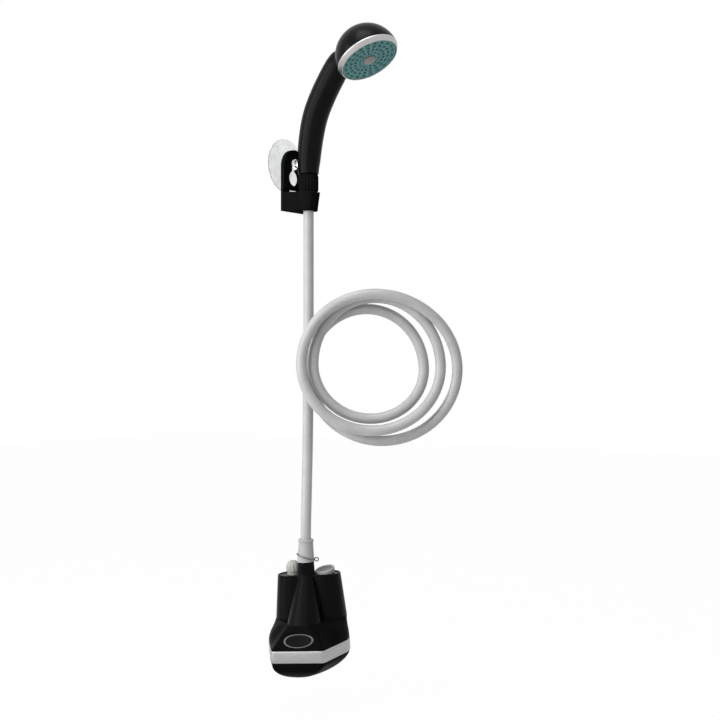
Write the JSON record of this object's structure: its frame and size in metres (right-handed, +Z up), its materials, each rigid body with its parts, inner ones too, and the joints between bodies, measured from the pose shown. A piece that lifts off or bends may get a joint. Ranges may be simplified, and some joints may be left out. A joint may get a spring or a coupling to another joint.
{
  "type": "camp shower pump",
  "caption": "Portable camp shower: a submersible pump on a coiled hose feeds a curved hand shower that stands in a suction-cup wall bracket.",
  "frame": {"origin": "centre of the suction cup's wall face", "axes": "+Z up along the hanging hose, +Y into the wall, so the hand shower leans out along -Y"},
  "size_m": [0.1766, 0.2043, 0.7715],
  "materials": {
    "clear_cup": "clear soft vinyl",
    "black_case": "satin black moulding",
    "black_bracket": "black moulding",
    "hose_vinyl": "glossy grey vinyl",
    "sleeve_grey": "grey soft moulding",
    "button_grey": "grey rubber",
    "trim_silver": "satin silver",
    "spray_teal": "teal moulding",
    "nozzle_teal": "dark teal silicone",
    "cap_taupe": "taupe moulding",
    "seal_black": "black rubber",
    "steel": "bright steel",
    "wire_steel": "dark wire",
    "inner_plastic": "natural moulding",
    "magnet": "ferrite",
    "copper_rotor": "wound rotor",
    "impeller_orange": "moulded impeller",
    "cell_jacket": "plain green jacket"
  },
  "bodies": {
    "wall_cup": {"suction_cup": "clear_cup"},
    "bracket_arm": {"bracket": "black_bracket"},
    "hose_and_pump": {"hose_nut": "black_bracket", "hose_tail": "hose_vinyl", "nut_washer": "seal_black", "hose_upper": "hose_vinyl", "hose_coil": "hose_vinyl", "hose_lower": "hose_vinyl", "hose_sleeve": "sleeve_grey", "hose_clip": "wire_steel", "outlet_spigot": "black_case", "pump_housing": "black_case", "lower_hull": "black_case", "hull_gasket": "seal_black", "trim_band": "trim_silver", "intake_base": "black_case", "pump_deck": "inner_plastic", "deck_screws": "steel", "outlet_tube": "inner_plastic", "volute": "inner_plastic", "volute_cover": "inner_plastic", "strainer": "seal_black", "motor_can": "steel", "motor_magnet": "magnet", "shaft_seal": "seal_black", "battery_cells": "cell_jacket", "contact_strip": "steel", "contact_springs": "steel", "switch_body": "inner_plastic", "switch_spring": "steel", "charge_socket": "seal_black", "cover_pin": "steel", "badge": "black_case"},
    "hand_shower": {"handle": "black_case", "head_shell": "black_case", "trim_ring": "trim_silver", "head_seal": "seal_black", "spray_plate": "spray_teal", "nozzle_mat": "nozzle_teal", "centre_cap": "cap_taupe", "face_screw": "steel"},
    "impeller_set": {"motor_rotor": "copper_rotor", "motor_shaft": "steel", "impeller": "impeller_orange"},
    "push_button": {"switch_button": "button_grey"},
    "charging_cover": {"charge_cover": "button_grey"}
  },
  "joints": [
    {"name": "bracket_slide", "type": "slide", "parent": "wall_cup", "child": "bracket_arm", "axis": [0, 0, 1], "range_m": [0, 0.017]},
    {"name": "handset_lift", "type": "slide", "parent": "bracket_arm", "child": "hose_and_pump", "axis": [0, 0, 1], "range_m": [0, 0.03]},
    {"name": "handset_swivel", "type": "hinge", "parent": "hose_and_pump", "child": "hand_shower", "pos_m": [0, -0.037, -0.025], "axis": [0, 0, 1], "range_deg": [-80, 80]},
    {"name": "impeller_spin", "type": "hinge", "parent": "hose_and_pump", "child": "impeller_set", "pos_m": [-0.03488, -0.06156, -0.57226], "axis": [-0.0338, 0.0466, 0.9983], "continuous": true},
    {"name": "button_press", "type": "slide", "parent": "hose_and_pump", "child": "push_button", "axis": [0.0338, -0.0466, -0.9983], "range_m": [0, 0.0025], "stiffness_N_per_m": 400, "springref_m": -0.001, "deforming": ["switch_spring"]},
    {"name": "cover_open", "type": "hinge", "parent": "hose_and_pump", "child": "charging_cover", "pos_m": [0.01294, -0.05608, -0.49447], "axis": [-0.4217, 0.905, -0.0565], "range_deg": [0, 105]}
  ]
}
